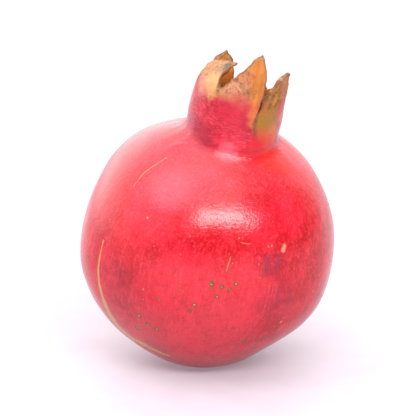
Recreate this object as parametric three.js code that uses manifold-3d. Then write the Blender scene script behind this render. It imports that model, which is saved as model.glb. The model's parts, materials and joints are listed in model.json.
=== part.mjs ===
// A whole ripe pomegranate, as picked, at rest on a flat surface.
//
// The fruit is one grown piece: a leathery body that runs up into the calyx tube and its six dried
// sepals. Inside the tube stand the dried stamens and the style, and a clipped stub of the stalk
// is left in the dimple at the other end.
//
// Units are millimetres and degrees, with +Z up. The origin is on the flat spot that the fruit
// rests on, straight below the middle of its body. +X is to the right of someone facing the fruit,
// and +Y points away from them. Every piece is modelled about the fruit's own axis, crown upwards,
// and the whole fruit is then leaned over as it lies.

import * as THREE from 'three';
import { mergeVertices } from 'three/addons/utils/BufferGeometryUtils.js';
import Module from 'manifold-3d';

const wasm = await Module();
wasm.setup();

// The body, from the stalk end to the shoulder
const BODY_RADIUS = 46.5;
const CROWN_END_HEIGHT = 46.2; // from the equator to where the round of the shoulder would close
const STALK_END_HEIGHT = 45.5;
const SHOULDER_LATITUDE = 63; // where the round of the body turns up into the calyx tube
const DIMPLE_DEPTH = 4.2;
const DIMPLE_RADIUS = 6;
const RIB_SWELL = 0.4; // six blunt ribs, one below each sepal
const LUMP_SWELL = 0.3; // broad unevenness all over

// The swells of the body, and its flats where rise is below 0, each this many degrees in reach
const SWELLS = [
  { heading: 280, latitude: -25, rise: 0.9, reach: 22 },
  { heading: 243, latitude: 38, rise: 0.7, reach: 17 },
  { heading: 220, latitude: 59, rise: -1.1, reach: 15 },
  { heading: 262, latitude: 8, rise: -0.7, reach: 15 },
  { heading: 61, latitude: -41, rise: -2.0, reach: 19 },
  { heading: 14, latitude: -62, rise: 1.0, reach: 24 },
  { heading: 76, latitude: -16, rise: 0.5, reach: 16 },
  { heading: 150, latitude: 20, rise: -0.6, reach: 24 },
  { heading: 195, latitude: -20, rise: 0.6, reach: 24 },
];

// The calyx tube, with heights above the equator
const TUBE_BASE = 46;
const TUBE_RADIUS = 16.8;
const TUBE_BULGE = 0.8;
const TUBE_BULGE_HEIGHT = 52;
const TUBE_BULGE_REACH = 7;
const TUBE_FLAT = 1.1; // how far its right side lies in from the round
const TUBE_FLAT_HEADING = 75;
const CUP_FLOOR = 46.5;
const WALL_AT_FLOOR = 4.2;
const WALL_AT_TIP = 0.9;
const WALL_TAPER_HEIGHT = 76; // where the wall has thinned to its thickness at the tips

// The clefts between the sepals, in order round the crown. A heading is turned from the front
// towards the right, and a sepal stands between each cleft and the next.
const FIRST_CLEFT = -34;
const CLEFTS = [
  { heading: -35, height: 65 },
  { heading: 18, height: 56 },
  { heading: 86, height: 59 },
  { heading: 144, height: 57 },
  { heading: 188, height: 55 },
  { heading: 242, height: 58 },
];

// The sepals. bend turns the tip outwards, or inwards if it is negative; lean carries it sideways,
// to the right as seen from outside; keel is the ridge up its middle; hollow is how far each edge,
// left then right, is drawn in on its way to the tip, below 1 for a rounded edge; bulge is how many
// degrees it swells out on the way.
const SEPALS = [
  { tip: 13, height: 83, bend: -26, lean: -1.2, keel: 1.5, hollow: [0.95, 0.4], bulge: [0, 8] },
  { tip: 57, height: 75, bend: 4, lean: 0.4, keel: 1.2, hollow: [0.5, 0.6], bulge: [0, 0] },
  { tip: 114, height: 63, bend: -20, lean: -0.5, keel: 0.9, hollow: [0.7, 0.7], bulge: [0, 0] },
  { tip: 160, height: 62, bend: -20, lean: 0.6, keel: 0.8, hollow: [0.75, 1.6], bulge: [0, 0] },
  { tip: 212, height: 71, bend: -24, lean: 0.4, keel: 0.9, hollow: [0.55, 0.7], bulge: [0, 0] },
  { tip: 299, height: 80, bend: -72, lean: 3.2, keel: 0.7, hollow: [0.65, 0.65], bulge: [0, 0] },
];

// How the fruit lies
const LEAN = 15; // of its axis from upright
const LEAN_HEADING = 51; // from the front towards the right
const FLAT_SPOT_DEPTH = 1.2; // how much of the round underside the flat spot takes off

// The dried flower inside the tube
const GAP = 0.3; // kept between pieces that touch
const FLOWER_BASE_RADIUS = 11.6;
const FLOWER_BASE_THICKNESS = 1.4;
const STAMEN_RINGS = [
  { radius: 10.3, count: 20, length: 8.5 },
  { radius: 8.0, count: 14, length: 7 },
  { radius: 5.8, count: 9, length: 5.5 },
];
const STAMEN_WIDTH = 0.7;
const ANTHER_RADIUS = 0.75;
const ANTHER_STRETCH = 1.5;
const STYLE_LENGTH = 11;
const STYLE_RADIUS = 0.7;
const STIGMA_RADIUS = 1.3;

// The stub of the stalk
const STUB_RADIUS = 2.2;
const STUB_LENGTH = 2.7;
const STUB_CROWN = 0.3; // how far the middle of its top stands above the edge

// How finely the surfaces are divided
const COLUMNS_PER_SEPAL = 12;
const BODY_ROWS = 22;
const FILLET_ROWS = 4;
const SEPAL_ROWS = 9;
const LINING_ROWS = 7;
const FLOOR_ROWS = 2;

const BULGE_PEAK = 4; // brings the greatest value of t * (1 - t) to 1
const SEPAL_COUNT = SEPALS.length;
const COLUMNS = COLUMNS_PER_SEPAL * SEPAL_COUNT;
const FULL_TURN = 360;
const { degToRad, lerp, radToDeg, smoothstep } = THREE.MathUtils;

// A point at a distance from the axis, on a heading and at a height above the equator.
function around(radius, heading, height) {
  const turn = degToRad(heading);
  return new THREE.Vector3(radius * Math.sin(turn), -radius * Math.cos(turn), height);
}

// The body

// How far a place lies into a swell, from 1 in its middle to 0 well outside it.
function depthInto(swell, towards) {
  const middle = around(Math.cos(degToRad(swell.latitude)), swell.heading, Math.sin(degToRad(swell.latitude)));
  return Math.exp(-((radToDeg(middle.angleTo(towards)) / swell.reach) ** 2));
}

// How far the skin stands out from the smooth round at a place, with the ribs under the sepals.
function unevenness(heading, latitude) {
  const turn = degToRad(heading);
  const rise = degToRad(latitude);
  const towards = around(Math.cos(rise), heading, Math.sin(rise));
  const ribs = Math.cos(SEPAL_COUNT * (turn - degToRad(FIRST_CLEFT)) + Math.PI) * Math.cos(rise) ** 2;
  const lumps = Math.sin(2 * turn + 0.6 + rise) * Math.cos(rise);
  const swells = SWELLS.reduce((sum, swell) => sum + swell.rise * depthInto(swell, towards), 0);
  return RIB_SWELL * ribs + LUMP_SWELL * lumps + swells;
}

// A point of the body's skin, from latitude -90 at the stalk end.
function skinPoint(heading, latitude) {
  const rise = degToRad(latitude);
  const swell = unevenness(heading, latitude);
  const radius = Math.cos(rise) * (BODY_RADIUS + swell);
  const halfHeight = swell + (latitude < 0 ? STALK_END_HEIGHT : CROWN_END_HEIGHT);
  const dimple = latitude < 0 ? DIMPLE_DEPTH * Math.exp(-((radius / DIMPLE_RADIUS) ** 4)) : 0;
  return around(radius, heading, halfHeight * Math.sin(rise) + dimple);
}

// The calyx tube and sepals

function tubeRadius(heading, height) {
  const offset = (height - TUBE_BULGE_HEIGHT) / TUBE_BULGE_REACH;
  const flat = Math.max(0, Math.cos(degToRad(heading - TUBE_FLAT_HEADING))) ** 2;
  return TUBE_RADIUS + TUBE_BULGE * Math.exp(-(offset ** 2)) - TUBE_FLAT * flat;
}

function wallThickness(height) {
  return lerp(WALL_AT_FLOOR, WALL_AT_TIP, smoothstep(height, CUP_FLOOR, WALL_TAPER_HEIGHT));
}

// The sepal that a column of the surface runs up, and how far across the sepal the column is.
function sepalAt(column) {
  const index = Math.floor(column / COLUMNS_PER_SEPAL) % SEPAL_COUNT;
  const left = CLEFTS[index];
  const next = CLEFTS[(index + 1) % SEPAL_COUNT];
  const right = { ...next, heading: next.heading < left.heading ? next.heading + FULL_TURN : next.heading };
  return { sepal: SEPALS[index], left, right, across: (column % COLUMNS_PER_SEPAL) / COLUMNS_PER_SEPAL };
}

// Where a column meets the sepal's edge: up one side from the cleft to the tip, and down the other.
function edgeOf({ sepal, left, right, across }) {
  const side = across < 0.5 ? 0 : 1;
  const cleft = [left, right][side];
  const climbed = 1 - Math.abs(2 * across - 1);
  const spread = (1 - climbed) ** sepal.hollow[side];
  const outwards = side === 0 ? -1 : 1;
  const widened = outwards * sepal.bulge[side] * BULGE_PEAK * climbed * (1 - climbed);
  return {
    heading: sepal.tip + (cleft.heading - sepal.tip) * spread + widened,
    height: lerp(cleft.height, sepal.height, climbed),
  };
}

// A point of the tube or a sepal, from share 0 at the start height to share 1 at the sepal's edge,
// sunk below the outer surface by a share of the wall.
function calyxPoint(column, share, startHeight, sunk) {
  const place = sepalAt(column);
  const { sepal, left, right, across } = place;
  const edge = edgeOf(place);
  const baseHeading = FIRST_CLEFT + (FULL_TURN * column) / COLUMNS;
  const heading = lerp(baseHeading, edge.heading, share ** 1.5);
  const height = lerp(startHeight, edge.height, share);
  const cleftLine = lerp(left.height, right.height, across);
  const free = Math.max(0, height - cleftLine);
  const length = sepal.height - lerp(left.height, right.height, 0.5);
  const raised = Math.min(1, free / length);
  const turned = degToRad(sepal.bend) * raised;
  const bendRadius = length / degToRad(sepal.bend);
  const outward = bendRadius * (1 - Math.cos(turned));
  const shortened = bendRadius * Math.sin(turned) - raised * length;
  const ridge = Math.max(0, 1 - Math.abs(2 * across - 1) * 1.4);
  const keel = sepal.keel * ridge * smoothstep(raised, 0, 0.6) * (1 - 0.5 * raised);
  const wall = sunk * wallThickness(height);
  const middle = degToRad((left.heading + right.heading) / 2);
  const facing = new THREE.Vector3(Math.sin(middle), -Math.cos(middle), 0);
  const sideways = new THREE.Vector3(Math.cos(middle), Math.sin(middle), 0);
  return around(tubeRadius(baseHeading, height) + keel - wall * Math.cos(turned), heading, height)
    .addScaledVector(facing, outward)
    .addScaledVector(sideways, sepal.lean * raised ** 2)
    .add(new THREE.Vector3(0, 0, shortened + wall * Math.sin(turned)));
}

// A point of the fillet between the shoulder and the tube.
function filletPoint(column, share) {
  const heading = FIRST_CLEFT + (FULL_TURN * column) / COLUMNS;
  const shoulder = skinPoint(heading, SHOULDER_LATITUDE);
  const footRadius = tubeRadius(heading, TUBE_BASE);
  const foot = around(footRadius, heading, TUBE_BASE);
  const slope = Math.tan(degToRad(90 - SHOULDER_LATITUDE)) * (CROWN_END_HEIGHT / BODY_RADIUS);
  const shoulderRadius = Math.hypot(shoulder.x, shoulder.y);
  const corner = around(footRadius, heading, shoulder.z + slope * (shoulderRadius - footRadius));
  return new THREE.QuadraticBezierCurve3(shoulder, corner, foot).getPoint(share);
}

// The fruit, as rings of points from the stalk end over the crown and down into the cup

function ring(pointAt) {
  return Array.from({ length: COLUMNS }, (_, column) => pointAt(column));
}

function fruitRings() {
  const rings = [];
  for (let row = 1; row <= BODY_ROWS; row += 1) {
    const latitude = lerp(-90, SHOULDER_LATITUDE, (row / BODY_ROWS) ** 1.5);
    rings.push(ring((column) => skinPoint(FIRST_CLEFT + (FULL_TURN * column) / COLUMNS, latitude)));
  }
  for (let row = 1; row <= FILLET_ROWS; row += 1) {
    rings.push(ring((column) => filletPoint(column, row / FILLET_ROWS)));
  }
  for (let row = 1; row <= SEPAL_ROWS; row += 1) {
    rings.push(ring((column) => calyxPoint(column, row / SEPAL_ROWS, TUBE_BASE, 0)));
  }
  for (let row = LINING_ROWS; row >= 0; row -= 1) {
    rings.push(ring((column) => calyxPoint(column, row / LINING_ROWS, CUP_FLOOR, 1)));
  }
  const cupRim = rings.at(-1);
  for (let row = FLOOR_ROWS; row >= 1; row -= 1) {
    const inward = row / (FLOOR_ROWS + 1);
    rings.push(ring((column) => cupRim[column].clone().multiply(new THREE.Vector3(inward, inward, 1))));
  }
  return rings;
}

// Lifts whatever would lie below the surface onto it, which leaves the flat spot.
function settleOnFlatSpot(point, atRest) {
  point.applyMatrix4(atRest);
  point.z = Math.max(point.z, 0);
  return point.applyMatrix4(atRest.clone().invert());
}

function fruitGeometry(atRest) {
  const rings = fruitRings();
  const stalkPole = around(0, 0, DIMPLE_DEPTH - STALK_END_HEIGHT);
  const floorPole = around(0, 0, CUP_FLOOR);
  const points = [stalkPole, ...rings.flat(), floorPole].map((p) => settleOnFlatSpot(p, atRest));
  const at = (row, column) => 1 + row * COLUMNS + (column % COLUMNS);
  const faces = [];
  for (let column = 0; column < COLUMNS; column += 1) {
    faces.push(0, at(0, column + 1), at(0, column));
    for (let row = 0; row + 1 < rings.length; row += 1) {
      faces.push(at(row, column), at(row, column + 1), at(row + 1, column + 1));
      faces.push(at(row, column), at(row + 1, column + 1), at(row + 1, column));
    }
    faces.push(at(rings.length - 1, column), at(rings.length - 1, column + 1), points.length - 1);
  }
  return new THREE.BufferGeometry().setFromPoints(points).setIndex(faces);
}

// Solids that are joined from several shapes

function solidOf(geometry) {
  const bare = geometry.clone().deleteAttribute('normal').deleteAttribute('uv');
  const merged = mergeVertices(bare, 1e-4);
  const mesh = new wasm.Mesh({
    numProp: 3,
    vertProperties: merged.attributes.position.array,
    triVerts: new Uint32Array(merged.index.array),
  });
  return new wasm.Manifold(mesh);
}

function geometryOf(solid) {
  const mesh = solid.getMesh();
  return new THREE.BufferGeometry()
    .setAttribute('position', new THREE.BufferAttribute(new Float32Array(mesh.vertProperties), 3))
    .setIndex(new THREE.BufferAttribute(new Uint32Array(mesh.triVerts), 1));
}

// The dried stamens

// Repeatable draws between 0 and 1.
function makeDraw(seed) {
  let state = seed;
  return () => {
    state = (state * 1664525 + 1013904223) % 4294967296;
    return state / 4294967296;
  };
}

function lathed(profile, segments) {
  const outline = profile.map(([radius, height]) => new THREE.Vector2(radius, height));
  return new THREE.LatheGeometry(outline, segments).rotateX(Math.PI / 2);
}

function flowerBase() {
  const edge = FLOWER_BASE_THICKNESS * 0.6;
  return lathed([[0, 0], [FLOWER_BASE_RADIUS, 0], [FLOWER_BASE_RADIUS, edge], [0, FLOWER_BASE_THICKNESS]], 24);
}

// One stamen: a thin stalk that wanders inwards or outwards as it rises, with its anther on top.
function stamenShapes(ringOf, heading, draw) {
  const length = ringOf.length * lerp(0.8, 1.15, draw());
  const drift = lerp(-1.6, 1.2, draw());
  const swing = lerp(-9, 9, draw());
  const path = new THREE.CatmullRomCurve3([
    around(ringOf.radius, heading, 0.4),
    around(ringOf.radius + 0.2 * drift, heading + 0.1 * swing, 0.35 * length),
    around(ringOf.radius + 0.6 * drift, heading + 0.5 * swing, 0.7 * length),
    around(ringOf.radius + drift, heading + swing, length),
  ]);
  const half = STAMEN_WIDTH / 2;
  const section = new THREE.Shape([
    new THREE.Vector2(-half, -half),
    new THREE.Vector2(half, -half),
    new THREE.Vector2(half, half),
    new THREE.Vector2(-half, half),
  ]);
  const stalk = new THREE.ExtrudeGeometry(section, { steps: 4, extrudePath: path });
  const tip = path.getPoint(1);
  const anther = new THREE.SphereGeometry(ANTHER_RADIUS, 6, 4)
    .scale(1, ANTHER_STRETCH, 1)
    .rotateX(lerp(0.3, 1.4, draw()))
    .rotateZ(degToRad(heading + swing))
    .translate(tip.x, tip.y, tip.z);
  return [stalk, anther];
}

function stamensGeometry() {
  const draw = makeDraw(11);
  let tuft = solidOf(flowerBase());
  for (const ringOf of STAMEN_RINGS) {
    const step = FULL_TURN / ringOf.count;
    for (let index = 0; index < ringOf.count; index += 1) {
      const heading = step * (index + lerp(-0.2, 0.2, draw()));
      for (const shape of stamenShapes(ringOf, heading, draw)) {
        tuft = tuft.add(solidOf(shape));
      }
    }
  }
  return geometryOf(tuft);
}

// The style, with its knob of a stigma

function styleGeometry() {
  const neck = STYLE_LENGTH - 2.2 * STIGMA_RADIUS;
  return lathed(
    [
      [0, 0],
      [STYLE_RADIUS * 1.8, 0],
      [STYLE_RADIUS * 1.2, 1.6],
      [STYLE_RADIUS, neck * 0.6],
      [STYLE_RADIUS * 1.1, neck],
      [STIGMA_RADIUS, neck + 0.9 * STIGMA_RADIUS],
      [STIGMA_RADIUS * 0.8, STYLE_LENGTH - 0.3 * STIGMA_RADIUS],
      [0, STYLE_LENGTH],
    ],
    10,
  );
}

// The clipped stub of the stalk, which widens where it joined the fruit

function stubGeometry() {
  return lathed(
    [
      [0, -STUB_LENGTH],
      [STUB_RADIUS * 0.8, -STUB_LENGTH],
      [STUB_RADIUS * 0.9, -STUB_LENGTH * 0.85],
      [STUB_RADIUS * 0.85, -STUB_LENGTH * 0.4],
      [STUB_RADIUS * 1.1, -STUB_LENGTH * 0.25],
      [STUB_RADIUS * 1.1, -STUB_CROWN],
      [0, 0],
    ],
    12,
  );
}

// The whole fruit

function piece(name, geometry, colour, roughness, height) {
  const mesh = new THREE.Mesh(geometry, new THREE.MeshStandardMaterial({ color: colour, roughness, metalness: 0 }));
  mesh.name = name;
  mesh.position.z = height;
  return mesh;
}

// Leans the fruit over and sets the round of its underside into the surface by the flat spot.
function placeAtRest(group) {
  const leanAxis = new THREE.Vector3(Math.cos(degToRad(LEAN_HEADING)), Math.sin(degToRad(LEAN_HEADING)), 0);
  group.quaternion.setFromAxisAngle(leanAxis, degToRad(LEAN));
  const reach = Math.hypot(BODY_RADIUS * Math.sin(degToRad(LEAN)), STALK_END_HEIGHT * Math.cos(degToRad(LEAN)));
  group.position.z = reach - FLAT_SPOT_DEPTH;
  group.updateMatrix();
}

const pomegranate = new THREE.Group();
placeAtRest(pomegranate);
pomegranate.add(
  piece('fruit', fruitGeometry(pomegranate.matrix), '#e0263a', 0.38, 0),
  piece('stamens', stamensGeometry(), '#9a6a34', 0.85, CUP_FLOOR + GAP),
  piece('style', styleGeometry(), '#7a4a26', 0.8, CUP_FLOOR + FLOWER_BASE_THICKNESS + 2 * GAP),
  piece('stem_stub', stubGeometry(), '#6b4a2c', 0.9, DIMPLE_DEPTH - STALK_END_HEIGHT - GAP),
);

export default pomegranate;
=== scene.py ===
"""A ripe pomegranate at rest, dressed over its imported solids.

A place on the fruit is given either by its heading, height and distance from the fruit's own axis,
in millimetres and degrees as a maker would measure them, or by the point of the picture where a
mark of the rind shows. Everything else is in metres.
"""

import json
import math
import random

import bpy
from mathutils import Matrix, Vector, kdtree, noise
from mathutils.bvhtree import BVHTree

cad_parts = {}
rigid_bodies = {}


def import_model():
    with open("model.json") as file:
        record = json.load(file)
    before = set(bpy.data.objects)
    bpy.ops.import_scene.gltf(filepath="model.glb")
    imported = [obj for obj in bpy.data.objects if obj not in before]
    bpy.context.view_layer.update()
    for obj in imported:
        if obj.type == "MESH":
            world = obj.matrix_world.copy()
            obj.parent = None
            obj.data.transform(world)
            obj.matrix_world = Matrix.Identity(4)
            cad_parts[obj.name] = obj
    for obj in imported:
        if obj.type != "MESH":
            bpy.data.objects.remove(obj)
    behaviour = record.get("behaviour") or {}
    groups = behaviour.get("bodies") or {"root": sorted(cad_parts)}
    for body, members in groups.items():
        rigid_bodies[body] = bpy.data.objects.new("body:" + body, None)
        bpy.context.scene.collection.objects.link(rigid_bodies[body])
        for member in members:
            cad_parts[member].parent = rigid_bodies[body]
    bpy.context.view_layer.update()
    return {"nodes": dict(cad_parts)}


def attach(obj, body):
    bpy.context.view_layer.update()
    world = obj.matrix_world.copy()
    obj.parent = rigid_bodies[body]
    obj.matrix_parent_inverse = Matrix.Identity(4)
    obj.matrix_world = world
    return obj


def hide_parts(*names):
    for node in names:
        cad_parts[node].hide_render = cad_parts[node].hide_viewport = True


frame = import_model()
bpy.ops.object.select_all(action="DESELECT")

# The rind: the leathery skin of the body, the calyx tube and its six dried sepals, all one grown
# piece. It starts as the solid's own surface, which is welded and divided finer, and is then
# dented, wrinkled and frayed by fractions of a millimetre, so that it stays where the solid is.

MM = 0.001
LEAN = math.radians(15)  # of the fruit's axis from upright
LEAN_HEADING = math.radians(51)  # from the front towards the right
BODY_MIDDLE = Vector((0, 0, 0.04437))
NECK_FOOT = 45  # height of the calyx tube's foot above the middle of the body
CUP_FLOOR = 46.5
CUP_RADIUS = 13.4
CREASE_ANGLE = math.radians(50)
RIM_CREASE = 0.7
RIND_LEVELS = 2

lean_axis = Vector((math.cos(LEAN_HEADING), math.sin(LEAN_HEADING), 0))
axis_frame = Matrix.Translation(BODY_MIDDLE) @ Matrix.Rotation(LEAN, 4, lean_axis) @ Matrix.Scale(MM, 4)
to_axis_frame = axis_frame.inverted()


def only(piece):
    """Makes this the one selected and active object."""
    bpy.ops.object.select_all(action="DESELECT")
    piece.select_set(True)
    bpy.context.view_layer.objects.active = piece
    return piece


def apply_modifier(piece, kind, **settings):
    """Adds one modifier with these settings, and applies it."""
    only(piece)
    modifier = piece.modifiers.new(kind.title(), kind)
    for name, value in settings.items():
        setattr(modifier, name, value)
    bpy.ops.object.modifier_apply(modifier=modifier.name)


def welded_copy(node, name):
    """A copy of a solid's surface as one connected skin, in quads where it can be."""
    copy = node.copy()
    copy.data = node.data.copy()
    copy.name = copy.data.name = name
    copy.parent = None
    for key in list(copy.keys()):
        del copy[key]
    copy.data.materials.clear()
    bpy.context.scene.collection.objects.link(copy)
    only(copy)
    bpy.ops.mesh.customdata_custom_splitnormals_clear()
    bpy.ops.object.mode_set(mode="EDIT")
    bpy.ops.mesh.select_all(action="SELECT")
    bpy.ops.mesh.remove_doubles(threshold=1e-6)
    bpy.ops.mesh.tris_convert_to_quads(face_threshold=math.pi, shape_threshold=math.pi)
    bpy.ops.object.mode_set(mode="OBJECT")
    bpy.ops.object.shade_smooth()
    return copy


def smoothstep(low, high, value):
    share = min(1, max(0, (value - low) / (high - low)))
    return share * share * (3 - 2 * share)


def lining_faces(piece):
    """The faces inside the cup.

    They are those low on its wall, and all that are reached from them short of the sharp rim.
    """
    bpy.ops.object.mode_set(mode="EDIT")
    bpy.ops.mesh.select_mode(type="EDGE")
    bpy.ops.mesh.select_all(action="DESELECT")
    bpy.ops.mesh.edges_select_sharp(sharpness=CREASE_ANGLE)
    bpy.ops.mesh.mark_seam()
    bpy.ops.transform.edge_crease(value=RIM_CREASE)
    bpy.ops.mesh.select_all(action="DESELECT")
    bpy.ops.mesh.select_mode(type="FACE")
    bpy.ops.object.mode_set(mode="OBJECT")
    for face in piece.data.polygons:
        x, y, height = to_axis_frame @ face.center
        face.select = CUP_FLOOR - 1 < height < CUP_FLOOR + 5 and math.hypot(x, y) < CUP_RADIUS + 1
    bpy.ops.object.mode_set(mode="EDIT")
    bpy.ops.mesh.select_linked(delimit={"SEAM"})
    bpy.ops.object.mode_set(mode="OBJECT")
    return [face for face in piece.data.polygons if face.select]


def store_on_points(piece, name, value_of):
    """Stores one number at each vertex. The dividing and the shader then find it between them."""
    attribute = piece.data.attributes.new(name, "FLOAT", "POINT")
    for vertex in piece.data.vertices:
        attribute.data[vertex.index].value = value_of(vertex)


def read_points(piece, name):
    return [point.value for point in piece.data.attributes[name].data]


rind = welded_copy(frame["nodes"]["fruit"], "rind")
inner_points = {index for face in lining_faces(rind) for index in face.vertices}
rim_points = {
    index
    for edge in rind.data.edges
    if edge.use_seam
    for index in edge.vertices
    if (to_axis_frame @ rind.data.vertices[index].co).z > CUP_FLOOR + 3
}
store_on_points(rind, "lining", lambda vertex: vertex.index in inner_points)
store_on_points(rind, "rim", lambda vertex: vertex.index in rim_points)
apply_modifier(rind, "SUBSURF", levels=RIND_LEVELS, render_levels=RIND_LEVELS)

PICTURE_SCALE = 0.526  # millimetres across one point of the picture
PICTURE_MIDDLE = (127, 271)  # where the middle of the body shows
VIEW_DROP = math.radians(16)
view_in = Vector((0, math.cos(VIEW_DROP), -math.sin(VIEW_DROP)))
view_up = Vector((0, math.sin(VIEW_DROP), math.cos(VIEW_DROP)))


def faces_of(piece):
    """A piece's faces as they now are, for rays to be cast at."""
    points = [vertex.co for vertex in piece.data.vertices]
    return BVHTree.FromPolygons(points, [face.vertices for face in piece.data.polygons])


def shown_at(x, y):
    """The place on the rind, in millimetres about its own axis, that shows at a point of the picture."""
    across = (x - PICTURE_MIDDLE[0]) * PICTURE_SCALE * MM
    up = (PICTURE_MIDDLE[1] - y) * PICTURE_SCALE * MM
    start = BODY_MIDDLE + Vector((across, 0, 0)) + up * view_up - view_in
    point = rind_faces.ray_cast(start, view_in)[0]
    if point is None:
        raise ValueError(f"no rind shows at {x}, {y}")
    return to_axis_frame @ point


# How far each unevenness moves the skin, and how broad it is, in millimetres.
BODY_DENT, DENT_BREADTH = 0.4, 21
BODY_DIMPLING, DIMPLE_BREADTH = 0.1, 7
TUBE_BUMP, TUBE_BUMP_BREADTH = 0.1, 3
CALYX_WRINKLE = 0.34  # shrunken lengthwise folds of the dried sepals
WRINKLE_COUNT, WRINKLE_LENGTH, WRINKLE_BREADTH = 7, 11, 9
CALYX_BUMP, CALYX_BUMP_BREADTH = 0.16, 1.7
DRIED_FROM, DRIED_TO = 57, 64  # heights between which the tube turns into dried sepals
RIM_CURL, CURL_BREADTH = 0.55, 4.5
RIM_FRAY, FRAY_BREADTH = 0.4, 2.1
# Far enough apart for the rim to fray differently along each of the three axes.
FRAY_SHIFTS = [Vector((0, 0, 0)), Vector((31.7, 0, 0)), Vector((0, 47.3, 0))]
PUCKER_COUNT = 9  # shallow folds that run out over the shoulder from the neck
PUCKER_DEPTH, PUCKER_REACH = 0.22, 4
NECK_FILL = 1.3  # how far the front of the neck's foot is filled out
NECK_FILL_HEADING = 0.2
NECK_FILL_REACH = 2.8
NECK_CREASE = [(104, 206.0), (108, 205.8), (112, 206.4), (118, 207.6), (124, 209.8), (129, 213.0)]
CREASE_RIDGE = 0.3
CREASE_WIDTH = 1.1


def beside_run(place, run):
    """How far a place is from a run of points, and which side of it, above being positive."""
    gap, side = math.inf, 0
    for start, end in zip(run, run[1:]):
        along = end - start
        reached = min(1, max(0, (place - start).dot(along) / along.length_squared))
        foot = start + reached * along
        if (place - foot).length < gap:
            gap = (place - foot).length
            side = place.z - foot.z
    return gap, side


def weathering(place, outwards, rim, crease):
    """How far a point of the skin has moved as the fruit grew and its calyx dried."""
    x, y, height = place
    heading = math.atan2(x, -y)
    on_tube = smoothstep(NECK_FOOT - 2, NECK_FOOT + 4, height)
    dried = smoothstep(DRIED_FROM, DRIED_TO, height)
    dents = BODY_DENT * noise.noise(place / DENT_BREADTH)
    dents += BODY_DIMPLING * noise.noise(place / DIMPLE_BREADTH)
    near_neck = math.exp(-(((height - NECK_FOOT + 2) / PUCKER_REACH) ** 2))
    puckers = PUCKER_DEPTH * near_neck * noise.noise(Vector((heading * PUCKER_COUNT / 2, 0.3, height / 20)))
    turned = Vector((heading * WRINKLE_COUNT, height / WRINKLE_LENGTH, math.hypot(x, y) / WRINKLE_BREADTH))
    wrinkles = CALYX_WRINKLE * (0.5 - abs(2 * noise.noise(turned)))
    wrinkles += CALYX_BUMP * noise.noise(place / CALYX_BUMP_BREADTH)
    curl = RIM_CURL * rim * noise.noise(place / CURL_BREADTH)
    fray = RIM_FRAY * rim * Vector([noise.noise(place / FRAY_BREADTH + shift) for shift in FRAY_SHIFTS])
    facing = max(0, math.cos(heading - NECK_FILL_HEADING)) ** 2
    above_foot = (height - NECK_FOOT - 1) / NECK_FILL_REACH
    fill = NECK_FILL * facing * math.exp(-(above_foot**2))
    bumps = on_tube * (1 - dried) * TUBE_BUMP * noise.noise(place / TUBE_BUMP_BREADTH)
    swell = (1 - on_tube) * dents + puckers + bumps + fill
    if height > NECK_FOOT - 8:
        gap, side = beside_run(place, crease)
        # The skin stands up below the crease and is sunk above it.
        swell += CREASE_RIDGE * math.exp(-((gap / CREASE_WIDTH) ** 2)) * (1 if side < 0.4 else -0.6)
    return outwards * (swell + dried * (wrinkles + curl)) + dried * fray


turn_in = to_axis_frame.to_3x3() * MM
rims = read_points(rind, "rim")
rind_faces = faces_of(rind)
neck_crease = [shown_at(x, y) for x, y in NECK_CREASE]
moved = []
for vertex, rim in zip(rind.data.vertices, rims):
    place = to_axis_frame @ vertex.co
    moved.append(axis_frame @ (place + weathering(place, turn_in @ vertex.normal, rim, neck_crease)))
for vertex, point in zip(rind.data.vertices, moved):
    vertex.co = (point.x, point.y, max(point.z, 0))
rind.data.update()

rind_faces = faces_of(rind)

rim_tree = kdtree.KDTree(len(rind.data.vertices))
for vertex, rim in zip(rind.data.vertices, rims):
    if rim > 0.97:
        rim_tree.insert(vertex.co, vertex.index)
rim_tree.balance()
store_on_points(rind, "from_rim", lambda vertex: rim_tree.find(vertex.co)[2] / MM)


def new_finish(name):
    """A material with nothing in it yet."""
    material = bpy.data.materials.new(name)
    material.use_nodes = True
    material.node_tree.nodes.clear()
    return material


def paint_node(material, kind, sockets=(), **settings):
    """Adds one shader node. A socket takes a plain value or another node's output."""
    made = material.node_tree.nodes.new("ShaderNode" + kind)
    for name, value in settings.items():
        setattr(made, name, value)
    for socket, value in dict(sockets).items():
        if isinstance(value, bpy.types.NodeSocket):
            material.node_tree.links.new(value, made.inputs[socket])
        else:
            made.inputs[socket].default_value = value
    return made


def sums(material, operation, a, b=0.0):
    return paint_node(material, "Math", {0: a, 1: b}, operation=operation).outputs[0]


def fade(material, value, low, high, at_low=0.0, at_high=1.0):
    """Runs smoothly from at_low to at_high as the value goes from low to high."""
    sockets = {"Value": value, "From Min": low, "From Max": high, "To Min": at_low, "To Max": at_high}
    return paint_node(material, "MapRange", sockets, interpolation_type="SMOOTHSTEP", clamp=False).outputs[0]


def speckle(material, place, size, detail, roughness):
    """Soft noise whose blotches are about this many millimetres across, from 0 to 1."""
    sockets = {"Vector": place, "Scale": 1 / size, "Detail": detail, "Roughness": roughness}
    return paint_node(material, "TexNoise", sockets).outputs[0]


def colour(red, green, blue):
    """A colour from its picture values, 0 to 255."""
    shares = [value / 255 for value in (red, green, blue)]
    return [*(v / 12.92 if v <= 0.04045 else ((v + 0.055) / 1.055) ** 2.4 for v in shares), 1.0]


def tint(material, share, under, over):
    """Lays one colour over another by a share."""
    return paint_node(material, "Mix", {0: share, 6: under, 7: over}, data_type="RGBA").outputs[2]


def coat(piece, material, sockets):
    """Ends a material with its surface, which has these sockets, and gives it to a piece."""
    surface = paint_node(material, "BsdfPrincipled", sockets)
    paint_node(material, "OutputMaterial", {"Surface": surface.outputs[0]})
    piece.data.materials.append(material)


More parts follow.
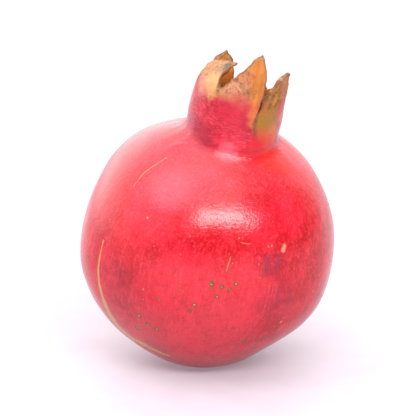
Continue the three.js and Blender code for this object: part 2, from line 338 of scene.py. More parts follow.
def axis_place(material):
    """Where a point is, in millimetres in the fruit's own frame."""
    at = paint_node(material, "TexCoord").outputs["Object"]
    turn = to_axis_frame.to_euler()
    sockets = {"Vector": at, "Location": to_axis_frame.translation, "Rotation": turn, "Scale": [1 / MM] * 3}
    return paint_node(material, "Mapping", sockets, vector_type="POINT").outputs[0]


def stretched(material, place, scales):
    """A place scaled along each axis, so that noise there runs long where the scale is small."""
    return paint_node(material, "VectorMath", {0: place, 1: scales}, operation="MULTIPLY").outputs[0]


def spot(material, place, centre, inner, outer):
    """1 within the inner distance of a centre, falling to 0 at the outer one."""
    gap = paint_node(material, "VectorMath", {0: place, 1: centre}, operation="DISTANCE").outputs["Value"]
    return fade(material, gap, inner, outer, 1.0, 0.0)


def stray(material, place, size, reach):
    """The same place, moved about by up to this reach, so that what is drawn there has uneven edges."""
    shift = paint_node(material, "TexNoise", {"Vector": place, "Scale": 1 / size, "Detail": 3.0}).outputs[1]
    centred = paint_node(material, "VectorMath", {0: shift, 1: [0.5] * 3}, operation="SUBTRACT").outputs[0]
    sockets = {0: centred, 1: [2 * reach] * 3, 2: place}
    return paint_node(material, "VectorMath", sockets, operation="MULTIPLY_ADD").outputs[0]


def nearest_of(material, place, dots):
    """The distance to the nearest dot, as a share of that dot's own radius. A dot is (x, y, radius)."""
    nearest = None
    for x, y, radius in dots:
        sockets = {0: place, 1: shown_at(x, y)}
        gap = paint_node(material, "VectorMath", sockets, operation="DISTANCE").outputs["Value"]
        share = sums(material, "DIVIDE", gap, radius)
        nearest = share if nearest is None else sums(material, "MINIMUM", nearest, share)
    return nearest


def scar_share(material, place, run):
    """The distance to a scar as a share of its half width. A scar is a run of (x, y, half width)."""
    nearest = None
    for (x, y, width), (next_x, next_y, next_width) in zip(run, run[1:]):
        start, end = shown_at(x, y), shown_at(next_x, next_y)
        along = end - start
        from_start = paint_node(material, "VectorMath", {0: place, 1: start}, operation="SUBTRACT").outputs[0]
        sockets = {0: from_start, 1: along / along.length_squared}
        reached = paint_node(material, "VectorMath", sockets, operation="DOT_PRODUCT").outputs["Value"]
        limited = sums(material, "MINIMUM", sums(material, "MAXIMUM", reached, 0.0), 1.0)
        sockets = {0: along, "Scale": limited}
        foot = paint_node(material, "VectorMath", sockets, operation="SCALE").outputs[0]
        sockets = {0: from_start, 1: foot}
        gap = paint_node(material, "VectorMath", sockets, operation="DISTANCE").outputs["Value"]
        share = sums(material, "DIVIDE", gap, (width + next_width) / 2)
        nearest = share if nearest is None else sums(material, "MINIMUM", nearest, share)
    return nearest


def patches(material, place, marks, shade):
    """Lays soft patches over a colour. Each is (x, y, inner and outer reach, colour, strength)."""
    for x, y, inner, outer, ground, strength in marks:
        here = sums(material, "MULTIPLY", spot(material, place, shown_at(x, y), inner, outer), strength)
        shade = tint(material, here, shade, colour(*ground))
    return shade


# The marks of the rind, each placed by the points of the picture where it shows, with its half
# width, radius or reach in millimetres. Among the patches and dots are also painted shade, two
# painted glints and a painted reflection, each noted where it stands.
SCAR = [
    (55.6, 271, 0.15), (53.2, 281, 0.4), (51.8, 291, 0.6), (52.6, 302, 0.8), (55.6, 313, 1.2), (60, 323, 1.9),
    (66, 331.5, 2.6), (74, 338.3, 2.6), (84, 343.3, 1.9), (94, 348.3, 1.2), (99.6, 350.3, 0.6),
]
SCRATCH = [(76, 234.5, 0.08), (80, 229, 0.12), (83.7, 224.5, 0.24), (91.5, 219.3, 0.2), (98.7, 214.5, 0.1)]
STREAK = [(142.4, 282.5, 0.2), (141.4, 286, 0.35), (140.2, 289, 0.45), (139.6, 292, 0.25)]
PALE_OVAL = [(179.2, 274.8, 0.6), (178.6, 276.6, 1.1), (178.2, 278.0, 0.7)]
PALE_LINE = [(149.6, 272.4, 0.15), (152.5, 273.2, 0.3), (155.5, 273.4, 0.15)]
BRUISES = [
    [(167.6, 283.5, 0.8), (166.6, 288, 1.2), (166.4, 293, 0.7)],
    [(175, 282.5, 0.6), (174.3, 286.5, 0.9), (174.6, 290, 0.5)],
    [(174.6, 308, 0.6), (175.2, 312, 0.9), (174.2, 317, 0.6)],
    [(182.6, 308.5, 0.7), (182.2, 312.5, 1.3), (180.6, 317.5, 0.7)],
]
CORKY_DOTS = [
    (129.6, 300.5, 1.3), (129.2, 304.7, 0.6), (136.5, 302.5, 1.0), (141.5, 304.0, 0.8), (146.0, 300.5, 0.95),
    (133.0, 309.5, 0.9), (117.8, 315.0, 1.0), (114.4, 319.0, 0.85), (113.3, 330.3, 0.45), (79.8, 322.7, 1.15),
    (86.0, 328.5, 1.0), (78.6, 331.0, 1.1), (80.4, 331.2, 0.9), (92.0, 331.8, 1.05), (93.7, 311.4, 0.7),
    (82.8, 311.4, 0.5), (107.8, 304.8, 0.5), (151.8, 340.0, 1.0), (159.5, 344.5, 0.8), (130.0, 351.0, 0.6),
    (162.7, 296.4, 0.5), (99.5, 317.5, 0.4), (124.0, 322.0, 0.35), (141.0, 331.0, 0.4), (104.5, 292.0, 0.35),
]
PALE_DOTS_AND_PAINTED_GLINT = [
    # The dot at (199, 306) is a painted glint; the others are pale specks of the rind.
    (170.5, 274.8, 0.5), (168.2, 275.2, 0.4), (148.0, 269.5, 0.4), (85.8, 255.5, 0.6), (199.0, 306.0, 0.4),
    (82.8, 304.5, 0.5), (177.0, 327.0, 0.7),
]
BODY_PATCHES_AND_PAINTED_SHADE = [
    (73, 272, 4, 14, (176, 2, 20), 0.7),
    (64, 294, 2, 12, (136, 10, 36), 0.5),
    (71, 314, 2, 10, (140, 20, 44), 0.55),
    (140, 283, 6, 19, (166, 0, 14), 0.9),
    (170, 274, 3, 12, (170, 4, 20), 0.6),
    # Painted shade: the next three deep red patches darken the right side of the body.
    (196, 290, 5, 20, (156, 0, 8), 0.95),
    (206, 262, 5, 20, (156, 0, 6), 0.9),
    (196, 240, 4, 16, (176, 4, 10), 0.7),
    (108, 300, 5, 17, (208, 42, 56), 0.5),
    (150, 305, 5, 16, (206, 40, 54), 0.5),
    (90, 330, 5, 15, (200, 50, 64), 0.5),
    (128, 338, 8, 24, (204, 54, 68), 0.6),
    (173, 314, 4, 12, (140, 26, 44), 0.6),
    (170, 288, 2, 9, (136, 12, 32), 0.6),
    (122, 231, 4, 12, (150, 10, 38), 0.75),
    (88, 245, 5, 15, (164, 18, 42), 0.55),
    (102, 238, 3, 11, (216, 60, 82), 0.5),
    (152, 222, 3, 9, (160, 4, 24), 0.6),
    (157, 236, 3, 10, (164, 4, 22), 0.5),
]
CALYX_PATCHES_AND_PAINTED_LIGHT = [
    # Painted reflection: a lilac-pink patch on the left edge of the neck.
    (115, 188, 1, 6, (160, 62, 84), 0.7),
    (123, 165, 1, 6, (188, 126, 104), 0.8),
    (131, 163, 2, 6, (194, 144, 98), 0.9),
    (129, 170, 1, 4, (192, 134, 84), 0.9),
    (128.5, 173.5, 0.3, 1.2, (118, 98, 46), 0.7),
    (143, 169, 2, 6, (180, 120, 90), 0.85),
    (148, 165, 1.5, 5, (176, 124, 90), 0.85),
    (150, 177, 1, 5, (188, 92, 76), 0.7),
    (153, 162, 1, 4, (166, 102, 66), 0.8),
    (163, 157, 3, 6, (172, 100, 34), 0.95),
    (161.5, 168, 1.5, 4.5, (170, 98, 34), 0.95),
    (159.5, 177, 1, 4, (186, 108, 42), 0.95),
    (157.6, 185, 1, 3.5, (188, 112, 48), 0.9),
    (156.6, 191, 0.6, 2.4, (190, 104, 54), 0.8),
    (146, 184, 3, 9, (172, 16, 42), 0.6),
    (168, 190, 3, 8, (138, 96, 8), 0.95),
    (163, 190, 1, 4, (142, 96, 10), 0.95),
    (170, 199, 2, 6, (180, 96, 22), 0.9),
    (164, 199, 1, 4, (176, 70, 26), 0.8),
    (168, 206, 2, 6, (192, 50, 22), 0.85),
    # Painted shade: a darker crimson patch at the left of the neck's foot, where it meets the shoulder.
    (121, 201, 3, 9, (134, 8, 40), 0.6),
    # Painted highlight: a pale pink glint on the front of the neck's foot.
    (140, 211, 1, 6, (214, 92, 108), 0.6),
    (168, 212, 2, 8, (186, 40, 18), 0.6),
    (158, 213, 2, 8, (184, 16, 28), 0.6),
    (160, 207, 1, 5, (184, 18, 34), 0.7),
    (174, 215, 3, 10, (188, 16, 14), 0.75),
    (171, 180, 2, 5, (146, 96, 14), 0.95),
    (174, 171, 2, 5, (160, 106, 30), 0.95),
    (178, 164, 1, 3, (168, 118, 78), 0.8),
    (178.6, 168, 0.6, 2.4, (158, 90, 66), 0.8),
    (178, 177, 0.6, 3, (182, 92, 76), 0.8),
    (176.6, 187, 0.6, 3, (176, 96, 50), 0.7),
    (181.5, 160.5, 0.6, 2, (150, 96, 66), 0.85),
    (172.4, 176, 0.8, 2.8, (176, 122, 38), 0.6),
    (176.6, 165.5, 0.5, 1.5, (122, 70, 26), 0.7),
    (146, 163, 0.4, 1.6, (116, 66, 36), 0.7),
    (150, 166.5, 0.4, 1.6, (120, 72, 40), 0.6),
    (154.8, 158, 0.3, 1.3, (84, 76, 62), 0.8),
    (158, 160, 0.3, 1.5, (158, 62, 30), 0.6),
    (153, 171, 0.6, 2.2, (142, 84, 58), 0.6),
    (140, 152, 1.2, 2.8, (56, 56, 48), 0.85),
    (143.5, 150.5, 0.8, 2.2, (78, 56, 38), 0.8),
    (135, 154, 0.8, 2.8, (120, 100, 74), 0.7),
    (145.8, 150.2, 0.8, 2.0, (150, 84, 34), 0.9),
]
SEPAL_CRACK = [  # the left and right sides of a brown ring, broken here and there
    (168.6, 181.0, 0.3), (169.6, 177.6, 0.7), (170.9, 174.2, 0.5), (172.8, 171.0, 0.8), (175.0, 169.0, 0.5),
]
SEPAL_CRACK_BESIDE = [(172.6, 180.2, 0.3), (174.4, 177.0, 0.6), (175.4, 173.6, 0.4), (176.2, 170.4, 0.6)]

STALK_END = Vector((0, 0, -42))  # the dimple where the stalk left the fruit
PEEL_DEPTH = 0.11 * MM
GROOVE_DEPTH = 0.22 * MM
SMOOTH, PARCHED = 0.19, 0.6  # roughness of the fresh rind and of the dried sepals

skin = new_finish("rind")
skin_place = axis_place(skin)
broad = speckle(skin, skin_place, 15, 2, 0.5)
patchy = speckle(skin, skin_place, 7, 3, 0.5)
mottle = speckle(skin, skin_place, 3.2, 4, 0.62)
fine = speckle(skin, skin_place, 0.8, 3, 0.6)
height = paint_node(skin, "SeparateXYZ", {0: skin_place}).outputs[2]
from_rim = paint_node(skin, "Attribute", attribute_name="from_rim").outputs["Fac"]
inside = paint_node(skin, "Attribute", attribute_name="lining").outputs["Fac"]
uneven = stray(skin, skin_place, 1.1, 0.25)
ragged = stray(skin, skin_place, 0.6, 0.4)
blurred = stray(skin, skin_place, 2.4, 1.6)

# The body's reds: a deep crimson ground, blotched with brighter red and freckled with pink.
shade = tint(skin, fade(skin, broad, 0.38, 0.64), colour(160, 3, 20), colour(186, 10, 34))
# Among these patches is painted shade that darkens the right side of the body.
shade = patches(skin, blurred, BODY_PATCHES_AND_PAINTED_SHADE, shade)
outwards = paint_node(skin, "VectorMath", {0: skin_place}, operation="NORMALIZE").outputs[0]
streaks = speckle(skin, stretched(skin, outwards, (44, 44, 5)), 1, 3, 0.6)
shade = tint(skin, fade(skin, patchy, 0.44, 0.62, 0.0, 0.3), shade, colour(204, 38, 56))
shade = tint(skin, fade(skin, mottle, 0.48, 0.66, 0.0, 0.3), shade, colour(210, 44, 60))
shade = tint(skin, fade(skin, mottle, 0.3, 0.47, 0.35, 0.0), shade, colour(146, 2, 22))
shade = tint(skin, fade(skin, streaks, 0.5, 0.7, 0.0, 0.3), shade, colour(206, 60, 74))
shade = tint(skin, fade(skin, streaks, 0.3, 0.48, 0.25, 0.0), shade, colour(146, 2, 24))
shade = tint(skin, fade(skin, fine, 0.52, 0.72, 0.0, 0.35), shade, colour(208, 70, 80))
pores_apart = paint_node(skin, "TexVoronoi", {"Vector": ragged, "Scale": 0.42})
pore = fade(skin, pores_apart.outputs["Distance"], 0.06, 0.15, 1.0, 0.0)
picked = paint_node(skin, "SeparateColor", {0: pores_apart.outputs["Color"]}).outputs[0]
kept = fade(skin, picked, 0.55, 0.95, 0.0, 0.35)
shade = tint(skin, sums(skin, "MULTIPLY", pore, kept), shade, colour(214, 120, 104))
for run in BRUISES:
    here = fade(skin, scar_share(skin, blurred, run), 0.0, 2.4, 0.65, 0.0)
    here = sums(skin, "MULTIPLY", here, fade(skin, fine, 0.38, 0.6, 0.1, 1.0))
    shade = tint(skin, here, shade, colour(98, 30, 54))
scar = scar_share(skin, uneven, SCAR)
shade = tint(skin, fade(skin, scar, 0.9, 1.5, 0.8, 0.0), shade, colour(156, 84, 52))
shade = tint(skin, fade(skin, scar, 0.4, 1.0, 0.95, 0.0), shade, colour(192, 130, 68))
scratch = scar_share(skin, uneven, SCRATCH)
shade = tint(skin, fade(skin, scratch, 0.5, 1.5, 0.7, 0.0), shade, colour(206, 122, 90))
streak = scar_share(skin, uneven, STREAK)
shade = tint(skin, fade(skin, streak, 0.8, 2.4, 0.5, 0.0), shade, colour(130, 20, 26))
shade = tint(skin, fade(skin, streak, 0.4, 1.1, 0.65, 0.0), shade, colour(176, 106, 66))
oval = scar_share(skin, ragged, PALE_OVAL)
shade = tint(skin, fade(skin, oval, 0.3, 1.3, 0.75, 0.0), shade, colour(206, 134, 106))
line = scar_share(skin, uneven, PALE_LINE)
shade = tint(skin, fade(skin, line, 0.4, 1.5, 0.5, 0.0), shade, colour(204, 110, 84))
corky = nearest_of(skin, ragged, CORKY_DOTS)
shade = tint(skin, fade(skin, corky, 0.7, 1.2, 0.85, 0.0), shade, colour(96, 62, 30))
cracked = sums(skin, "MULTIPLY", fade(skin, corky, 0.2, 0.6, 0.8, 0.0), fade(skin, fine, 0.45, 0.55))
shade = tint(skin, cracked, shade, colour(186, 156, 96))
# Pale specks of the rind, and one painted glint.
pale_dot_and_glint = nearest_of(skin, uneven, PALE_DOTS_AND_PAINTED_GLINT)
shade = tint(skin, fade(skin, pale_dot_and_glint, 0.3, 1.2, 0.6, 0.0), shade, colour(208, 128, 100))

# The calyx: the tube is as red as the body, and its sepals have dried to cream, ochre and brown.
fibre = speckle(skin, stretched(skin, skin_place, (1, 1, 0.16)), 0.8, 4, 0.65)
drift = paint_node(skin, "Math", {0: mottle, 1: 8.0, 2: height}, operation="MULTIPLY_ADD").outputs[0]
tube_red = tint(skin, fade(skin, mottle, 0.35, 0.65), colour(150, 4, 28), colour(182, 26, 50))
ripple = speckle(skin, stretched(skin, skin_place, (0.35, 0.35, 1.3)), 0.7, 3, 0.6)
tube_red = tint(skin, fade(skin, ripple, 0.5, 0.7, 0.0, 0.5), tube_red, colour(204, 76, 90))
shade = tint(skin, fade(skin, drift, 45, 53), shade, tube_red)
straw = tint(skin, fade(skin, fibre, 0.38, 0.62), colour(136, 84, 40), colour(178, 126, 76))
straw = tint(skin, fade(skin, mottle, 0.5, 0.66, 0.0, 0.6), straw, colour(118, 68, 34))
shade = tint(skin, fade(skin, drift, 65.5, 70), shade, straw)
# These patches include painted light: a painted reflection on the neck's left edge, painted shade at its left
# foot and a painted glint at its front.
shade = patches(skin, blurred, CALYX_PATCHES_AND_PAINTED_LIGHT, shade)
flecks = speckle(skin, skin_place, 0.9, 2, 0.5)
for run in (SEPAL_CRACK, SEPAL_CRACK_BESIDE):
    here = fade(skin, scar_share(skin, ragged, run), 0.2, 2.6, 0.85, 0.0)
    here = sums(skin, "MULTIPLY", here, fade(skin, flecks, 0.42, 0.56, 0.25, 1.0))
    shade = tint(skin, here, shade, colour(100, 52, 22))
on_facet = spot(skin, blurred, shown_at(147, 165), 3, 8)
speckled = sums(skin, "MULTIPLY", on_facet, fade(skin, flecks, 0.47, 0.66, 0.0, 0.8))
shade = tint(skin, speckled, shade, colour(130, 74, 46))
dried = sums(skin, "MULTIPLY", fade(skin, flecks, 0.6, 0.7, 0.0, 0.5), fade(skin, drift, 65, 69))
shade = tint(skin, dried, shade, colour(104, 54, 26))
lined = tint(skin, fade(skin, height, 48, 66), colour(84, 40, 20), colour(188, 108, 40))
lined = tint(skin, fade(skin, height, 60, 66), lined, colour(206, 146, 82))
lined = tint(skin, fade(skin, fibre, 0.45, 0.68, 0.0, 0.6), lined, colour(128, 70, 30))
shade = tint(skin, inside, shade, lined)
at_rim = fade(skin, from_rim, 0.15, 0.9, 1.0, 0.0)
edged = sums(skin, "MULTIPLY", at_rim, fade(skin, mottle, 0.35, 0.6, 0.3, 1.0))
shade = tint(skin, edged, shade, colour(110, 62, 28))

# The dimple round the stub is corky brown. The fresh rind is finely pitted, and the sepals grooved.
stalk_end = spot(skin, blurred, STALK_END, 2.6, 5.6)
shade = tint(skin, stalk_end, shade, tint(skin, mottle, colour(120, 66, 34), colour(176, 118, 66)))
rough = fade(skin, drift, 60, 68, SMOOTH, PARCHED)
pits = speckle(skin, skin_place, 1 / 0.9, 3, 0.6)
peel = paint_node(skin, "Bump", {"Height": pits, "Distance": PEEL_DEPTH, "Strength": 1.0}).outputs[0]
grooves = tint(skin, fade(skin, height, 58, 66), ripple, fibre)
above_body = fade(skin, height, 39, 43)
sockets = {"Height": grooves, "Normal": peel, "Distance": GROOVE_DEPTH, "Strength": above_body}
grooved = paint_node(skin, "Bump", sockets).outputs[0]
coat(rind, skin, {"Base Color": shade, "Roughness": rough, "Specular IOR Level": 0.42, "Normal": grooved})

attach(rind, "root")
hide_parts("fruit")

# The dried flower in the cup: a rust-brown cushion set with rings of wiry stamens, each with a
# papery anther at its tip. One stamen is modelled, then copied, bent and stood in its place.

FLOWER_FOOT = 46.8  # height of the cushion's underside
FLOWER_STEPS = [(0.0, 0.75), (1.2, 0.35), (2.4, 0.2), (3.0, 0.1), (2.6, -0.15)]  # each inset and rise
FLOWER_EDGE = 11.5
CUSHION_RISE, CUSHION_DOME, DOME_RADIUS = 0.9, 0.35, 11  # of its top over its underside, where stamens stand
CUSHION_BUMP, CUSHION_BUMP_BREADTH = 0.25, 1.3
PAPER_RELIEF = 0.1 * MM
STAMEN_SIDES = 5
STAMEN_LENGTH = 10  # of the one that is copied
STAMEN_THICKNESS = 0.3
STAMEN_STEPS = [(0.1, 0.9), (0.25, 0.9), (0.5, 0.95), (0.8, 0.95)]  # share of the length and of the thickness
ANTHER_STEPS = [(0.84, 2.0), (0.93, 2.5), (1.0, 1.4)]
STAMEN_RINGS = [  # each radius, count and length
    (10.6, 32, 8.8), (9.4, 29, 8.6), (8.1, 26, 7.8), (6.7, 22, 7.0), (5.3, 17, 6.0), (3.9, 11, 5.0),
]
ROOT_DEPTH = 0.5


def extrude_by(rise, scale):
    """Carries the selected faces up by a step, in millimetres, and scales them about their middle."""
    bpy.ops.mesh.extrude_region_move(TRANSFORM_OT_translate={"value": (0, 0, rise * MM)})
    bpy.ops.transform.resize(value=(scale, scale, 1))


def round_start(name, sides, radius, height):
    """A level round face at a height on the axis, in edit mode and selected."""
    bpy.ops.object.select_all(action="DESELECT")
    bpy.ops.mesh.primitive_circle_add(
        vertices=sides, radius=radius * MM, fill_type="NGON", location=(0, 0, height * MM)
    )
    piece = bpy.context.object
    piece.name = piece.data.name = name
    bpy.ops.object.transform_apply(location=True, rotation=True, scale=True)
    bpy.ops.object.mode_set(mode="EDIT")
    bpy.ops.mesh.select_all(action="SELECT")
    return piece


def close_up(piece):
    """Ends the modelling of a piece with its faces turned outwards."""
    bpy.ops.mesh.select_all(action="SELECT")
    bpy.ops.mesh.normals_make_consistent(inside=False)
    bpy.ops.object.mode_set(mode="OBJECT")
    only(piece)
    bpy.ops.object.shade_smooth()
    return piece


def weather(piece, move):
    """Moves each point by what its place and normal say, in millimetres, found before any of them moves."""
    moves = [move(vertex.co / MM, vertex.normal) for vertex in piece.data.vertices]
    for vertex, by in zip(piece.data.vertices, moves):
        vertex.co += MM * by


def set_in_fruit(piece):
    """Leans a piece that was modelled upright on the axis over with the fruit."""
    piece.data.transform(axis_frame @ Matrix.Scale(1 / MM, 4))
    piece.data.update()


flower = round_start("dried_stamens", 30, FLOWER_EDGE, FLOWER_FOOT)
for inset, rise in FLOWER_STEPS:
    extrude_by(rise, 1.0)
    if inset:
        bpy.ops.mesh.inset(thickness=inset * MM, depth=0)
close_up(flower)
apply_modifier(flower, "SUBSURF", levels=2, render_levels=2)
weather(flower, lambda place, normal: CUSHION_BUMP * noise.noise(place / CUSHION_BUMP_BREADTH) * normal)

stamen = round_start("stamen", STAMEN_SIDES, STAMEN_THICKNESS, 0)
height_now, width_now = 0.0, 1.0
for share, width in STAMEN_STEPS + ANTHER_STEPS:
    extrude_by((share - height_now) * STAMEN_LENGTH, width / width_now)
    height_now, width_now = share, width
close_up(stamen)

draw = random.Random(11)
bundle = [flower]
for ring_radius, count, length in STAMEN_RINGS:
    foot = FLOWER_FOOT + CUSHION_RISE - ROOT_DEPTH
    doming = CUSHION_DOME * (1 - (ring_radius / DOME_RADIUS) ** 2)
    for index in range(count):
        heading = 2 * math.pi * (index + draw.uniform(-0.3, 0.3)) / count
        stretch = length / STAMEN_LENGTH * draw.uniform(0.8, 1.15)
        spread, swing, wave = draw.uniform(-2.2, 1.0), draw.uniform(-1.6, 1.6), draw.uniform(-0.5, 0.5)
        radius = ring_radius + draw.uniform(-0.4, 0.4)
        thickness = draw.uniform(0.85, 1.25)
        copy = stamen.copy()
        copy.data = stamen.data.copy()
        bpy.context.scene.collection.objects.link(copy)
        turn = Matrix.Rotation(heading, 3, "Z")
        for vertex in copy.data.vertices:
            x, y, height_up = vertex.co / MM
            climbed = height_up / STAMEN_LENGTH
            bent = Vector((x * thickness, y * thickness - radius, 0))
            bent.y -= spread * climbed**2 + wave * math.sin(math.pi * climbed)
            bent.x += swing * climbed**2 + wave * math.sin(2 * math.pi * climbed)
            bent = turn @ bent
            bent.z = foot + height_up * stretch + doming
            vertex.co = bent * MM
        bundle.append(copy)
bpy.data.objects.remove(stamen)
only(flower)
for copy in bundle:
    copy.select_set(True)
bpy.ops.object.join()
set_in_fruit(flower)

papery = new_finish("dried_stamens")
papery_place = axis_place(papery)
papery_height = paint_node(papery, "SeparateXYZ", {0: papery_place}).outputs[2]
tuft = speckle(papery, papery_place, 1.6, 3, 0.6)
grain = speckle(papery, papery_place, 0.35, 3, 0.6)
stalks = tint(papery, fade(papery, tuft, 0.35, 0.65), colour(112, 52, 22), colour(176, 104, 44))
tips = tint(papery, fade(papery, grain, 0.3, 0.7), colour(150, 96, 44), colour(206, 156, 84))
shade = tint(papery, fade(papery, papery_height, 51, 54), stalks, tips)
shade = tint(papery, fade(papery, papery_height, 47.6, 49.2, 1.0, 0.0), shade, colour(70, 32, 18))
rub = paint_node(papery, "Bump", {"Height": grain, "Distance": PAPER_RELIEF, "Strength": 1.0}).outputs[0]
matt = fade(papery, tuft, 0.3, 0.7, 0.7, 0.9)
coat(flower, papery, {"Base Color": shade, "Roughness": matt, "Normal": rub})

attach(flower, "root")
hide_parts("stamens")

# The style: the woody spike left standing in the middle of the stamens, with the blunt knob of
# its stigma. It grew out of the cushion, and has dried brown and a little crooked.

STYLE_FOOT = 47.9
STYLE_FOOT_RADIUS = 1.3
STYLE_STEPS = [  # each rise, and the radius there
    (0.6, 1.15), (1.6, 0.86), (2.6, 0.72), (2.6, 0.72), (1.0, 0.8),
    (0.7, 1.2), (0.8, 1.28), (0.5, 1.1), (0.25, 0.6),
]
STYLE_CROOK, CROOK_LENGTH = 0.35, 3.2
CROOK_WAY = Vector((0.6, 0.4, 0))
STYLE_RIBS, STYLE_GRAIN = 0.09, 0.07
TURN_NUDGE = 1e-6
WOOD_RELIEF = 0.12 * MM


def carry_up(radius, steps):
    """Carries a round face up by steps, each a rise and the radius there, from the radius it has."""
    for rise, next_radius in steps:
        extrude_by(rise, next_radius / radius)
        radius = next_radius


spike = round_start("dried_style", 12, STYLE_FOOT_RADIUS, STYLE_FOOT)
carry_up(STYLE_FOOT_RADIUS, STYLE_STEPS)
close_up(spike)
apply_modifier(spike, "SUBSURF", levels=3, render_levels=3)


def heading_round(place):
    """The heading round the axis. The nudge puts all points right at its turn on one side of it."""
    return math.atan2(place.y + TURN_NUDGE, place.x)


def shrivel(place, normal):
    """How far a point of the style moved as it dried ribbed and crooked."""
    heading = heading_round(place)
    off_axis = smoothstep(0, 0.3, math.hypot(place.x, place.y))  # on the axis there is no heading
    ribs = STYLE_RIBS * off_axis * noise.noise(Vector((heading * 2.2, place.z / 4, 0)))
    ribs += STYLE_GRAIN * noise.noise(place / 0.6)
    crook = STYLE_CROOK * math.sin((place.z - STYLE_FOOT) / CROOK_LENGTH)
    return ribs * normal + crook * CROOK_WAY


weather(spike, shrivel)
set_in_fruit(spike)

woody = new_finish("dried_style")
woody_place = axis_place(woody)
streak = speckle(woody, stretched(woody, woody_place, (1, 1, 0.14)), 0.35, 3, 0.6)
blotch = speckle(woody, woody_place, 1.2, 3, 0.6)
shade = tint(woody, fade(woody, streak, 0.35, 0.65), colour(96, 52, 26), colour(158, 102, 52))
shade = tint(woody, fade(woody, blotch, 0.5, 0.68, 0.0, 0.7), shade, colour(66, 36, 20))
rub = paint_node(woody, "Bump", {"Height": streak, "Distance": WOOD_RELIEF, "Strength": 1.0}).outputs[0]
matt = fade(woody, blotch, 0.3, 0.7, 0.62, 0.85)
coat(spike, woody, {"Base Color": shade, "Roughness": matt, "Normal": rub})

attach(spike, "root")
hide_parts("style")

# The stub of the stalk, in the dimple under the fruit: a short plug of bark-covered wood, swollen
# where it joined the fruit and clipped off square, so that its end shows the paler pith.

STUB_END = -44.25  # height of the clipped end
STUB_END_RADIUS = 1.8
STUB_STEPS = [  # each rise from the clipped end, and the radius there
    (0.15, 1.95), (0.6, 1.95), (0.5, 1.85), (0.5, 1.95), (0.35, 2.3), (0.35, 2.42), (0.3, 2.3), (0.25, 1.6),
]
BARK_WIDTH, WOOD_WIDTH = 0.3, 0.79  # of the rings round the pith at the clipped end
PITH_HOLLOW = 0.25
BARK_RIDGES, BARK_GRAIN, END_GRAIN = 0.16, 0.1, 0.12
BARK_RELIEF = 0.15 * MM
RING_CLOSENESS = 14.0  # of the wood's growth rings

stub = round_start("stalk_stub", 24, STUB_END_RADIUS, STUB_END)
carry_up(STUB_END_RADIUS, STUB_STEPS)
bpy.ops.mesh.select_all(action="DESELECT")
bpy.ops.object.mode_set(mode="OBJECT")
for face in stub.data.polygons:
    face.select = face.center.z < (STUB_END + 0.01) * MM
bpy.ops.object.mode_set(mode="EDIT")
bpy.ops.mesh.inset(thickness=BARK_WIDTH * MM, depth=0)
bpy.ops.mesh.inset(thickness=WOOD_WIDTH * MM, depth=0)
extrude_by(PITH_HOLLOW, 0.8)
close_up(stub)
apply_modifier(stub, "SUBSURF", levels=2, render_levels=2)


def roughen(place, normal):
    """How far a point of the stub stands out with the ridges of its bark and the grain of its end."""
    heading = heading_round(place)
    edge = smoothstep(1.2, STUB_END_RADIUS, math.hypot(place.x, place.y))
    ribs = BARK_RIDGES * noise.noise(Vector((heading * 3, place.z / 3, 0.4)))
    ribs += BARK_GRAIN * noise.noise(place / 0.7)
    return edge * ribs * normal + Vector((0, 0, END_GRAIN * noise.noise(place / 0.9)))


weather(stub, roughen)
set_in_fruit(stub)

bark = new_finish("stalk")
bark_place = axis_place(bark)
ridge = speckle(bark, stretched(bark, bark_place, (1, 1, 0.2)), 0.4, 4, 0.6)
lichen = speckle(bark, bark_place, 0.9, 3, 0.6)
sides = tint(bark, fade(bark, ridge, 0.35, 0.65), colour(78, 52, 34), colour(140, 106, 74))
sides = tint(bark, fade(bark, lichen, 0.55, 0.7, 0.0, 0.6), sides, colour(150, 138, 112))
flattened = stretched(bark, bark_place, (1, 1, 0))
from_axis = paint_node(bark, "VectorMath", {0: flattened}, operation="LENGTH").outputs["Value"]
rings = sums(bark, "SINE", sums(bark, "MULTIPLY", from_axis, RING_CLOSENESS))
cut = tint(bark, fade(bark, rings, -1, 1), colour(176, 138, 94), colour(204, 170, 124))
cut = tint(bark, fade(bark, from_axis, 0.45, 0.7, 1.0, 0.0), cut, colour(108, 76, 46))
bark_height = paint_node(bark, "SeparateXYZ", {0: bark_place}).outputs[2]
low_down = fade(bark, bark_height, STUB_END + 0.15, STUB_END + 0.3, 1.0, 0.0)
at_end = sums(bark, "MULTIPLY", low_down, fade(bark, from_axis, 1.55, 1.75, 1.0, 0.0))
shade = tint(bark, at_end, sides, cut)
rub = paint_node(bark, "Bump", {"Height": ridge, "Distance": BARK_RELIEF, "Strength": 1.0}).outputs[0]
matt = fade(bark, lichen, 0.3, 0.7, 0.75, 0.92)
coat(stub, bark, {"Base Color": shade, "Roughness": matt, "Normal": rub})

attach(stub, "root")
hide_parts("stem_stub")

# The floor and the light: a plain pale sheet that glows a little from beneath, two wide soft lamps
# in front, one over the other, and a white room that is brightest towards its window at the back.

FLOOR_REACH = 3.0
FLOOR_GLOW = 0.55
LAMP_DISTANCE = 1.4
LAMPS = {  # where each stands, its width and height, its power, and how far its right end is let down
    "key": (Vector((0.224, -0.760, 0.609)), 1.5, 0.27, 27, math.radians(9)),
    "overhead": (Vector((-0.082, -0.355, 0.931)), 2.4, 1.0, 15, 0),
}
WINDOW_FROM = Vector((-0.45, 0.6, 0.66)).normalized()
ROOM_DIM, ROOM_BRIGHT = 0.3, 2.6  # strength away from the window and towards it


def aim(piece, place, target, up=Vector((0, 0, 1))):
    """Places a lamp or camera and points it, with its sides level."""
    back = (place - target).normalized()
    side = up.cross(back).normalized()
    turn = Matrix((side, back.cross(side), back)).transposed()
    piece.matrix_world = Matrix.Translation(place) @ turn.to_4x4()


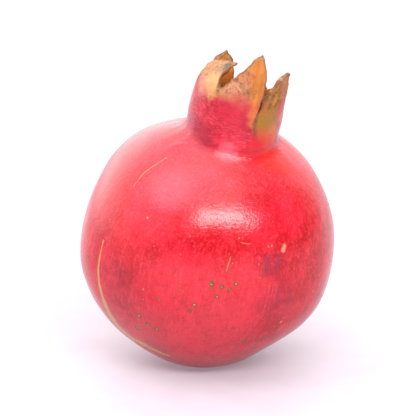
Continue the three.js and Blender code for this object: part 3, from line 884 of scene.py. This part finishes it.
bpy.ops.mesh.primitive_plane_add(size=2 * FLOOR_REACH)
floor = bpy.context.object
floor.name = "floor"
paper = new_finish("floor")
where = paint_node(paper, "TexCoord").outputs["Object"]
grain = paint_node(paper, "TexNoise", {"Vector": where, "Scale": 60.0, "Detail": 3.0}).outputs[0]
pale = tint(paper, fade(paper, grain, 0.3, 0.7), colour(152, 145, 152), colour(157, 150, 157))
glow = {"Emission Color": colour(182, 165, 176), "Emission Strength": FLOOR_GLOW}
coat(floor, paper, {"Base Color": pale, "Roughness": 0.6, **glow})

for name, (direction, width, depth, power, tilt) in LAMPS.items():
    lamp = bpy.data.objects.new(name, bpy.data.lights.new(name, "AREA"))
    bpy.context.scene.collection.objects.link(lamp)
    lamp.data.shape = "RECTANGLE"
    lamp.data.size, lamp.data.size_y = width, depth
    lamp.data.energy = power
    tilted_up = Vector((math.sin(tilt), 0, math.cos(tilt)))
    aim(lamp, BODY_MIDDLE + LAMP_DISTANCE * direction, BODY_MIDDLE, tilted_up)

room = bpy.data.worlds.new("room")
room.use_nodes = True
room.node_tree.nodes.clear()
towards = paint_node(room, "TexCoord").outputs["Generated"]
sockets = {0: towards, 1: WINDOW_FROM}
windowward = paint_node(room, "VectorMath", sockets, operation="DOT_PRODUCT").outputs["Value"]
brightness = fade(room, windowward, -0.2, 0.98, ROOM_DIM, ROOM_BRIGHT)
sky = paint_node(room, "Background", {"Color": (1, 1, 1, 1), "Strength": brightness})
paint_node(room, "OutputWorld", {"Surface": sky.outputs[0]})
bpy.context.scene.world = room

# The camera, as far above the horizon as the picture's.

VIEW_DISTANCE = 3.0
FRAME_WIDTH = 0.151  # what the picture shows across, at the fruit
PICTURE_AIM = (127, 249)
CLIP_START = 0.01

camera = bpy.data.objects.new("camera", bpy.data.cameras.new("camera"))
bpy.context.scene.collection.objects.link(camera)
camera.data.lens = camera.data.sensor_width * VIEW_DISTANCE / FRAME_WIDTH
camera.data.clip_start = CLIP_START
rise = (PICTURE_MIDDLE[1] - PICTURE_AIM[1]) * PICTURE_SCALE * MM
target = BODY_MIDDLE + rise * view_up
aim(camera, target - VIEW_DISTANCE * view_in, target)
bpy.context.scene.camera = camera
bpy.context.scene.view_settings.view_transform = "Standard"
